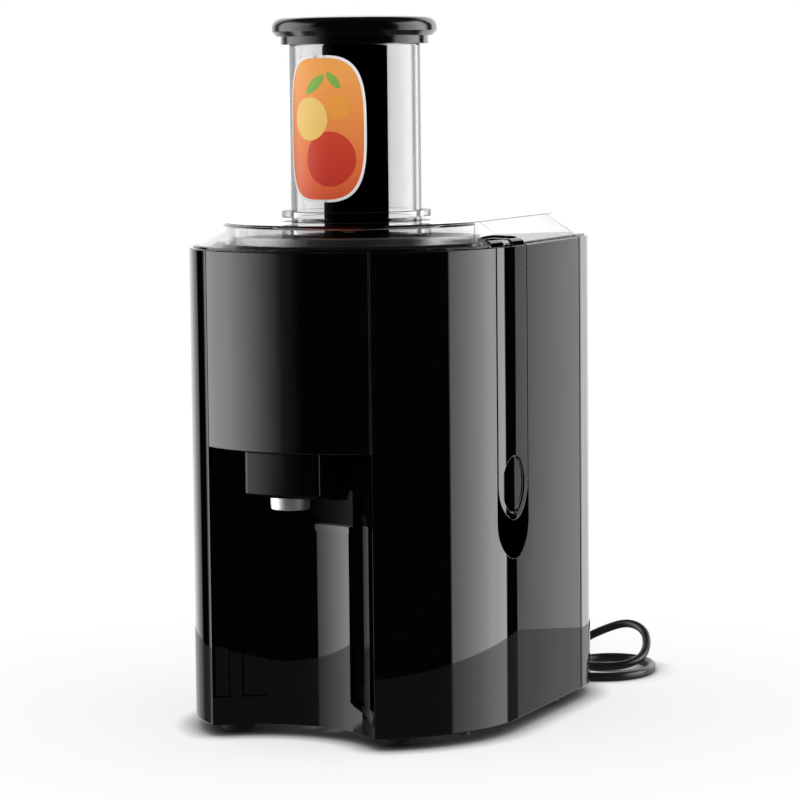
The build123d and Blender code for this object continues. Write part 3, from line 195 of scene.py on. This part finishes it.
def moulded(name, color, roughness, wave=0.0, grain=0.0, edge=0.0005, **sockets):
    """Moulded plastic: roughness varies a little, over a long faint wave or a fine grain."""
    mat, tree, bsdf = shader(name, color, roughness, **sockets)
    where = place(tree)
    uneven = spread(tree, noise(tree, where, PATCHES), roughness * 0.8, roughness * 1.25)
    tree.links.new(uneven, bsdf.inputs["Roughness"])
    height = noise(tree, where, GRAIN if grain else WAVE, 2)
    bump(tree, bsdf, height, 1.0, grain or wave, edge)
    return mat


def metal(name, color, roughness, stretch=(1, 1, 1), lines=900.0, depth=0.00001):
    """Metal with fine lines drawn along the axis that stretch shrinks."""
    mat, tree, bsdf = shader(name, color, roughness, 1.0)
    where = place(tree, stretch)
    strokes = noise(tree, where, lines, 4)
    tree.links.new(spread(tree, strokes, roughness * 0.7, roughness * 1.4), bsdf.inputs["Roughness"])
    bump(tree, bsdf, strokes, 0.6, depth, 0.0003)
    return mat


def clear_plastic(name, tint, slant, outline):
    """Clear plastic that lets most light through to what is behind and under it. Its colour turns
    from tint to slant where it is seen at a slant, as painted shade on its edges, and the chute's outer
    edge darkens by outline, a painted dark rim."""
    roughness = 0.02
    mat, tree, bsdf = shader(name, tint, roughness, IOR=1.49, Transmission_Weight=1.0)
    bsdf.inputs["Specular Tint"].default_value = (0.35, 0.35, 0.35, 1)
    where = place(tree)
    # painted shade: the colour darkens from tint to slant where the surface is seen at a slant
    rim = tree.nodes.new("ShaderNodeLayerWeight")
    rim.inputs["Blend"].default_value = 0.25
    tree.links.new(blend(tree, rim.outputs["Facing"], tint, slant), bsdf.inputs["Base Color"])
    uneven = spread(tree, noise(tree, where, 40), roughness * 0.5, roughness * 1.6)
    tree.links.new(uneven, bsdf.inputs["Roughness"])
    bump(tree, bsdf, noise(tree, where, 14, 1), 1.0, 0.00003, 0.0004)

    # painted shade: a dark diffuse rim is mixed in where the chute's outside is seen edge-on
    graze = tree.nodes.new("ShaderNodeLayerWeight")
    spot = parts(tree, where)
    away = span(tree, spot["X"], calc(tree, "SUBTRACT", spot["Y"], AXIS_Y))
    outside = calc(tree, "GREATER_THAN", away, CHUTE - 0.001)
    aslant, edge_on = 0.62, 0.74
    edge = product(tree, spread(tree, graze.outputs["Facing"], 0.0, outline, aslant, edge_on), outside)
    dark = tree.nodes.new("ShaderNodeBsdfDiffuse")
    dark.inputs["Color"].default_value = (0.03, 0.03, 0.03, 1)
    body = mix_shaders(tree, edge, bsdf.outputs["BSDF"], dark.outputs["BSDF"])

    path = tree.nodes.new("ShaderNodeLightPath")
    passed = tree.nodes.new("ShaderNodeBsdfTransparent")
    passed.inputs["Color"].default_value = (0.9, 0.9, 0.9, 1)
    both = mix_shaders(tree, path.outputs["Is Shadow Ray"], body, passed.outputs["BSDF"])
    tree.links.new(both, tree.nodes["Material Output"].inputs["Surface"])
    return mat


GLOSS = moulded("black_gloss", BLACK, 0.02, wave=0.00006)
PANEL = moulded("black_panel", BLACK, 0.02, wave=0.00006, edge=0.0)
BOWL = moulded("black_bowl", BLACK, 0.06, wave=0.00006, Specular_IOR_Level=0.22)
COLUMN = moulded("black_column", (0.001, 0.001, 0.001), 0.3, wave=0.00004, Specular_IOR_Level=0.0)
SATIN = moulded("black_satin", (0.014, 0.014, 0.015), 0.2, wave=0.00005)
MATT = moulded("black_matt", (0.022, 0.022, 0.023), 0.5, grain=0.00003)
RUBBER = moulded("rubber", (0.006, 0.006, 0.006), 0.65, grain=0.00005)
SHEATH = moulded("cable_sheath", (0.012, 0.012, 0.012), 0.33, wave=0.00006)
WHITE = moulded("white_plastic", (0.78, 0.78, 0.76), 0.32, wave=0.00005, Subsurface_Weight=0.1)
STEEL = metal("steel_brushed", (0.6, 0.6, 0.61), 0.28, (1, 1, 0.03))
BRIGHT = metal("steel_bright", (0.72, 0.72, 0.73), 0.14, (1, 1, 0.1))
HOUSING = moulded("black_housing", BLACK, 0.02, wave=0.00006)
CAP = moulded("black_cap", BLACK, 0.16, wave=0.00004)
NOZZLE = metal("nozzle_steel", (0.8, 0.8, 0.81), 0.45, (1, 1, 8))
RIM = metal("rim_steel", (0.33, 0.33, 0.335), 0.3, lines=700, depth=0.00004)
COPPER = metal("copper_wire", (0.72, 0.36, 0.19), 0.25, (1, 1, 0.1))
# the slant colours and the tube's outline are painted shade on the plastics' edges
CLEAR = clear_plastic("clear_lid", (0.985, 0.98, 0.98), (0.85, 0.85, 0.85), 0.0)
TUBE = clear_plastic("clear_tube", (0.79, 0.778, 0.785), (0.45, 0.45, 0.46), 0.55)


BAY_HALF_WIDTH = 0.0561
BAY_PANEL_TOP, BAY_CEILING = 0.1312, 0.1772


def paint_bay_head_shade():
    """Painted shade on the wall between the bay panel and the bay's ceiling: its reflection is turned
    down there, so it shows darker than the rest of the housing.
    """
    tree = HOUSING.node_tree
    spot = parts(tree, place(tree))
    middle = calc(tree, "LESS_THAN", calc(tree, "ABSOLUTE", spot["X"]), BAY_HALF_WIDTH)
    here = product(tree, between(tree, spot["Z"], BAY_PANEL_TOP, BAY_CEILING), middle)
    specular = tree.nodes["Principled BSDF"].inputs["Specular IOR Level"]
    # painted shade: specular drops from 0.5 to 0.02 inside the bay's head
    tree.links.new(spread(tree, here, 0.5, 0.02), specular)


paint_bay_head_shade()


def sieve():
    """Stainless sheet with rows of fine drilled holes, each row half a hole on from the last. The holes
    are not cut; each is painted near-black, as painted shade seen through it.
    """
    steel, hole_shade = (0.62, 0.62, 0.63), (0.02, 0.02, 0.02)
    holes_around, rows_to_metre, hole_radius = 300, 1 / 0.0016, 0.3
    mat, tree, bsdf = shader("filter_sheet", steel, 0.3, 1.0)
    spot = parts(tree, place(tree))
    around = calc(tree, "ARCTAN2", calc(tree, "SUBTRACT", spot["Y"], AXIS_Y), spot["X"])
    column = product(tree, around, holes_around / (2 * math.pi))
    row = product(tree, spot["Z"], rows_to_metre)
    shift = product(tree, calc(tree, "FLOOR", row), 0.5)
    u = calc(tree, "SUBTRACT", calc(tree, "FRACT", calc(tree, "ADD", column, shift)), 0.5)
    v = calc(tree, "SUBTRACT", calc(tree, "FRACT", row), 0.5)
    inside = calc(tree, "LESS_THAN", span(tree, u, v), hole_radius)
    # painted shade: the holes are drawn near-black in the sheet's colour
    tree.links.new(blend(tree, inside, steel, hole_shade), bsdf.inputs["Base Color"])
    return mat


SIEVE = sieve()

finish_of = {
    "housing": HOUSING, "front_panel": GLOSS, "bay_panel": PANEL, "pulp_container": GLOSS,
    "clamp_left": GLOSS, "clamp_right": GLOSS, "juice_bowl": BOWL,
    "pusher_foot": COLUMN, "pusher_column": COLUMN, "pusher_cap": CAP,
    "lid": CLEAR, "feed_chute": TUBE,
    "base_plate": MATT, "motor_deck": MATT, "brush_holders": MATT, "cooling_fan": MATT,
    "drive_coupling": MATT, "switch_frame": MATT, "switch_rocker": SATIN,
    "feet": RUBBER, "shaft_seal": RUBBER,
    "cord_grip": SHEATH, "cord_tie": SHEATH, "plug_body": SHEATH,
    "filter_hub": WHITE, "filter_rim": RIM,
    "filter_mesh": SIEVE, "grater_disc": STEEL, "motor_can": STEEL, "stator": STEEL, "armature": STEEL,
    "base_screws": MATT, "can_screws": BRIGHT, "bearings": BRIGHT, "motor_shaft": BRIGHT,
    "clamp_pins": BRIGHT, "plug_pins": BRIGHT,
    "field_coils": COPPER, "commutator": COPPER,
    "spout_nozzle": NOZZLE,
}
for name, mat in finish_of.items():
    if name in nodes:
        for slot in nodes[name].material_slots:
            slot.material = mat


# ---------------------------------------------------------------- label on the chute
LABEL_HEADING = math.radians(-3)
LABEL_HEIGHT = 0.367      # of its middle


def printed(name, low, high):
    """Satin print that turns from one colour to another up the label, with a faint fine screen."""
    mat, tree, bsdf = shader(name, low, 0.35, Specular_IOR_Level=0.25)
    where = place(tree)
    bottom, top = LABEL_HEIGHT - 0.04, LABEL_HEIGHT + 0.035
    climb = spread(tree, parts(tree, where)["Z"], 0.0, 1.0, bottom, top)
    tree.links.new(blend(tree, climb, low, high), bsdf.inputs["Base Color"])
    bump(tree, bsdf, noise(tree, where, 1500, 1), 0.3, 0.000004)
    return mat


def oval(half_width, half_height, power=2.0, turn=0.0, count=72):
    """Outline of a superellipse turned by an angle, as points across and up."""
    points = []
    for i in range(count):
        along, up = math.cos(2 * math.pi * i / count), math.sin(2 * math.pi * i / count)
        x = half_width * math.copysign(abs(along) ** (2 / power), along)
        z = half_height * math.copysign(abs(up) ** (2 / power), up)
        across = x * math.cos(turn) - z * math.sin(turn)
        points.append((across, x * math.sin(turn) + z * math.cos(turn)))
    return points


def film(name, outline, middle, lift, mat, rings=8):
    """Thin film wrapped round the chute, filled from its middle out to the outline."""
    build = bmesh.new()
    radius = CHUTE + lift

    def ring_at(share):
        ring = []
        for x, z in outline:
            angle = LABEL_HEADING + (middle[0] + x * share) / radius
            height = LABEL_HEIGHT + middle[1] + z * share
            spot = (radius * math.sin(angle), AXIS_Y - radius * math.cos(angle), height)
            ring.append(build.verts.new(spot))
        return ring

    inner = ring_at(0.02)
    build.faces.new(inner)
    for step in range(1, rings + 1):
        outer = ring_at(step / rings)
        for i in range(len(outline)):
            build.faces.new((inner[i - 1], outer[i - 1], outer[i], inner[i]))
        inner = outer
    mesh = bpy.data.meshes.new(name)
    build.to_mesh(mesh)
    build.free()
    mesh.shade_smooth()
    mesh.materials.append(mat)
    piece = bpy.data.objects.new(name, mesh)
    bpy.context.scene.collection.objects.link(piece)
    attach(piece, "lid")


def label():
    """Plain round-cornered sticker: warm ground, three overlapping discs, two leaves, no lettering."""
    paper = printed("label_paper", (0.96, 0.96, 0.95), (0.97, 0.97, 0.96))
    ground = printed("label_ground", (0.82, 0.11, 0.035), (1.0, 0.41, 0.09))
    sun = printed("label_sun", (0.95, 0.55, 0.10), (0.97, 0.68, 0.22))
    ember = printed("label_ember", (0.62, 0.03, 0.015), (0.75, 0.09, 0.03))
    amber = printed("label_amber", (0.90, 0.27, 0.03), (0.94, 0.40, 0.06))
    leaf = printed("label_leaf", (0.16, 0.36, 0.05), (0.26, 0.50, 0.09))
    film("label_backing", oval(0.029, 0.044, 3.2), (0, 0), 0.0001, paper, 12)
    film("label_print", oval(0.0274, 0.0424, 3.2), (0, 0), 0.00015, ground, 12)
    film("label_disc_low", oval(0.0165, 0.0165), (0.006, -0.018), 0.0002, ember)
    film("label_disc_high", oval(0.013, 0.013), (-0.008, 0.006), 0.00025, sun)
    film("label_disc_small", oval(0.008, 0.008), (0.012, 0.0135), 0.0003, amber)
    film("label_leaf_left", oval(0.0085, 0.0032, 1.7, 0.7), (-0.004, 0.0265), 0.0002, leaf)
    film("label_leaf_right", oval(0.0065, 0.0026, 1.7, 2.3), (0.009, 0.029), 0.0002, leaf)


label()


# ---------------------------------------------------------------- the cord
CORD = 0.0056             # its thickness


def spline_cord(name, points):
    """A round cord on one smooth NURBS line through the part's frame, in metres."""
    curve = bpy.data.curves.new(name, "CURVE")
    curve.dimensions = "3D"
    line = curve.splines.new("NURBS")
    line.points.add(len(points) - 1)
    for point, (x, y, z) in zip(line.points, points):
        point.co = (x, y, z, 1)
    line.order_u = 3
    line.use_endpoint_u = True
    line.resolution_u = 12
    curve.bevel_depth = CORD / 2
    curve.bevel_resolution = 5
    curve.use_fill_caps = True
    piece = bpy.data.objects.new(name, curve)
    bpy.context.scene.collection.objects.link(piece)
    curve.materials.append(SHEATH)
    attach(piece, "base")
    return piece


def behind(points):
    """Route points given in millimetres from the chute's axis, as the part's source has them."""
    return [(x / 1000, AXIS_Y + y / 1000, z / 1000) for x, y, z in points]


def coil_turns():
    """The put-away length: a flat coil of three and a third turns, wound inwards, up and out."""
    middle_x, middle_y = -85.0, 280.0
    count, first_heading = 3.307, -76.8
    layers = [(33.8, 3.8), (28.2, 3.8), (28.2, 9.4), (33.8, 9.4)]     # radius and height of each turn
    steps = 16
    turns = []
    for i in range(1, round(count * steps)):
        turn = i / steps
        at = int(turn)
        # the cord changes layer over the last fifth of a turn
        ease = max(0.0, min(1.0, (turn - at - 0.8) / 0.2))
        ease = ease * ease * (3 - 2 * ease)
        here, after = layers[at], layers[min(at + 1, len(layers) - 1)]
        radius = here[0] + (after[0] - here[0]) * ease
        height = here[1] + (after[1] - here[1]) * ease
        angle = math.radians(first_heading - 360 * turn)
        turns.append((middle_x + radius * math.cos(angle), middle_y + radius * math.sin(angle), height))
    return turns


cord_route = [
    (0, 212, 17), (0, 230, 17), (0.5, 249, 11.6), (4, 267, 6.6), (14, 281, 10), (28, 290, 18),
    (46, 293, 24.5), (62, 286, 21), (71, 271, 13), (74, 254, 6.5), (68, 239, 3.4), (54, 232, 2.8),
    (38, 236, 2.8), (30, 250, 2.8), (34, 266, 2.8), (48, 275, 2.8), (65, 273, 2.8), (79, 260, 2.8),
    (87, 241, 2.8), (89, 220, 2.8), (81, 201, 2.8), (62, 192, 2.8), (43, 199, 2.8), (27, 212, 2.8),
    (7, 222, 2.8), (-14, 229, 2.8), (-36, 233, 2.8), (-57, 239.5, 2.8), (-77, 246, 3.8),
]
tail_route = [(-117, 304, 7), (-108, 322, 5.5), (-92, 331, 8.5), (-74, 331, 8.5)]
cord = spline_cord("mains_cord", behind(cord_route + coil_turns() + tail_route))
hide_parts("cord_tube", "cord_coil", "cord_tail")


# ---------------------------------------------------------------- stage and light
# heading in degrees from the front towards the right, and brightness out of BRIGHTEST
WALLS = [
    (-180, 0.3), (-128, 0.26), (-113, 0.085), (-112.5, 0.0), (-101.5, 0.0), (-101, 0.5),
    (-70, 0.7), (-52, 0.5), (-36, 0.22), (-24, 0.04), (-10, 0.0), (93, 0.0),
    (93.5, 0.42), (112, 0.7), (130, 0.92), (148, 0.76), (149, 0.0), (165.7, 0.0),
    (165.9, 0.085), (167.1, 0.2), (168, 0.5), (180, 0.3),
]
BRIGHTEST = 5.0


def walls(tree, heading):
    """How bright the studio's walls are, all the way round."""
    ramp = tree.nodes.new("ShaderNodeValToRGB")
    share = calc(tree, "ADD", product(tree, heading, 0.5 / math.pi), 0.5)
    tree.links.new(share, ramp.inputs["Fac"])
    band = ramp.color_ramp
    band.interpolation = "LINEAR"
    while len(band.elements) < len(WALLS):
        band.elements.new(0.5)
    # all the places first, since moving one may change the order
    for element, (degrees, level) in zip(band.elements, WALLS):
        element.position = degrees / 360 + 0.5
    for element, (degrees, level) in zip(band.elements, WALLS):
        element.color = (level, level, level, 1)
    return product(tree, ramp.outputs["Color"], BRIGHTEST)


def studio_world():
    """White to the camera and through clear plastic; gloss sees a soft box to the left, a dark room
    in front and a white wall to the right and behind; everything else is lit evenly."""
    world = bpy.data.worlds.new("studio")
    world.use_nodes = True
    bpy.context.scene.world = world
    tree = world.node_tree
    back = tree.nodes["Background"]
    path = tree.nodes.new("ShaderNodeLightPath")
    coords = tree.nodes.new("ShaderNodeTexCoord")
    way = parts(tree, coords.outputs["Generated"])
    heading = calc(tree, "ARCTAN2", way["X"], product(tree, way["Y"], -1.0))

    # the ceiling is dark, and in front only a strip near the level is lit, so that the bay's back
    # wall sees little of it; heights are sines of the elevation
    ceiling_from, ceiling_full, strip = 0.45, 0.7, 0.122
    ceiling = spread(tree, way["Z"], 1.0, 0.02, ceiling_from, ceiling_full, "SMOOTHSTEP")
    past_strip = calc(tree, "GREATER_THAN", calc(tree, "ABSOLUTE", way["Z"]), strip)
    ahead = between(tree, heading, math.radians(-36), math.radians(93))
    lit = calc(tree, "SUBTRACT", 1.0, product(tree, past_strip, ahead))
    seen = product(tree, product(tree, walls(tree, heading), ceiling), lit)

    # light bent by clear plastic counts as glossy too, so only a reflected ray sees the studio
    reflected = calc(tree, "GREATER_THAN", path.outputs["Glossy Depth"], 0.5)
    gloss = product(tree, path.outputs["Is Glossy Ray"], reflected)
    straight = calc(tree, "MAXIMUM", path.outputs["Is Camera Ray"], path.outputs["Is Transmission Ray"])
    plain = product(tree, spread(tree, straight, 0.85, 1.0), calc(tree, "SUBTRACT", 1.0, gloss))
    back.inputs["Color"].default_value = (1, 1, 1, 1)
    tree.links.new(calc(tree, "ADD", product(tree, seen, gloss), plain), back.inputs["Strength"])


def table():
    """A pale acrylic sheet: white from above with a shadow close round the object, and a hazy mirror
    where it shows in the gloss."""
    mesh = bpy.data.meshes.new("table")
    build = bmesh.new()
    bmesh.ops.create_circle(build, cap_ends=True, radius=0.4, segments=96)
    build.to_mesh(mesh)
    build.free()
    floor = bpy.data.objects.new("table", mesh)
    floor.location = (0, 0, -0.0002)     # just clear of the feet
    bpy.context.scene.collection.objects.link(floor)
    mat = bpy.data.materials.new("pale_acrylic")
    mat.use_nodes = True
    tree = mat.node_tree
    tree.nodes.clear()
    out = tree.nodes.new("ShaderNodeOutputMaterial")
    path = tree.nodes.new("ShaderNodeLightPath")

    near = tree.nodes.new("ShaderNodeAmbientOcclusion")
    near.inputs["Distance"].default_value = 0.017
    open_sky = near.outputs["AO"]
    flat = tree.nodes.new("ShaderNodeBsdfDiffuse")
    tree.links.new(product(tree, open_sky, 0.45), flat.inputs["Color"])
    glow = tree.nodes.new("ShaderNodeEmission")
    tree.links.new(product(tree, calc(tree, "POWER", open_sky, 2.0), 0.63), glow.inputs["Strength"])
    lit = add_shaders(tree, flat.outputs["BSDF"], glow.outputs["Emission"])

    mirror = tree.nodes.new("ShaderNodeBsdfGlossy")
    mirror.inputs["Color"].default_value = (0.42, 0.42, 0.42, 1)
    mirror.inputs["Roughness"].default_value = 0.15
    haze = tree.nodes.new("ShaderNodeEmission")
    haze.inputs["Strength"].default_value = 0.09
    sheen = add_shaders(tree, mirror.outputs["BSDF"], haze.outputs["Emission"])

    tree.links.new(mix_shaders(tree, path.outputs["Is Glossy Ray"], lit, sheen), out.inputs["Surface"])
    mesh.materials.append(mat)


studio_world()
table()

bpy.context.scene.view_settings.view_transform = "Standard"
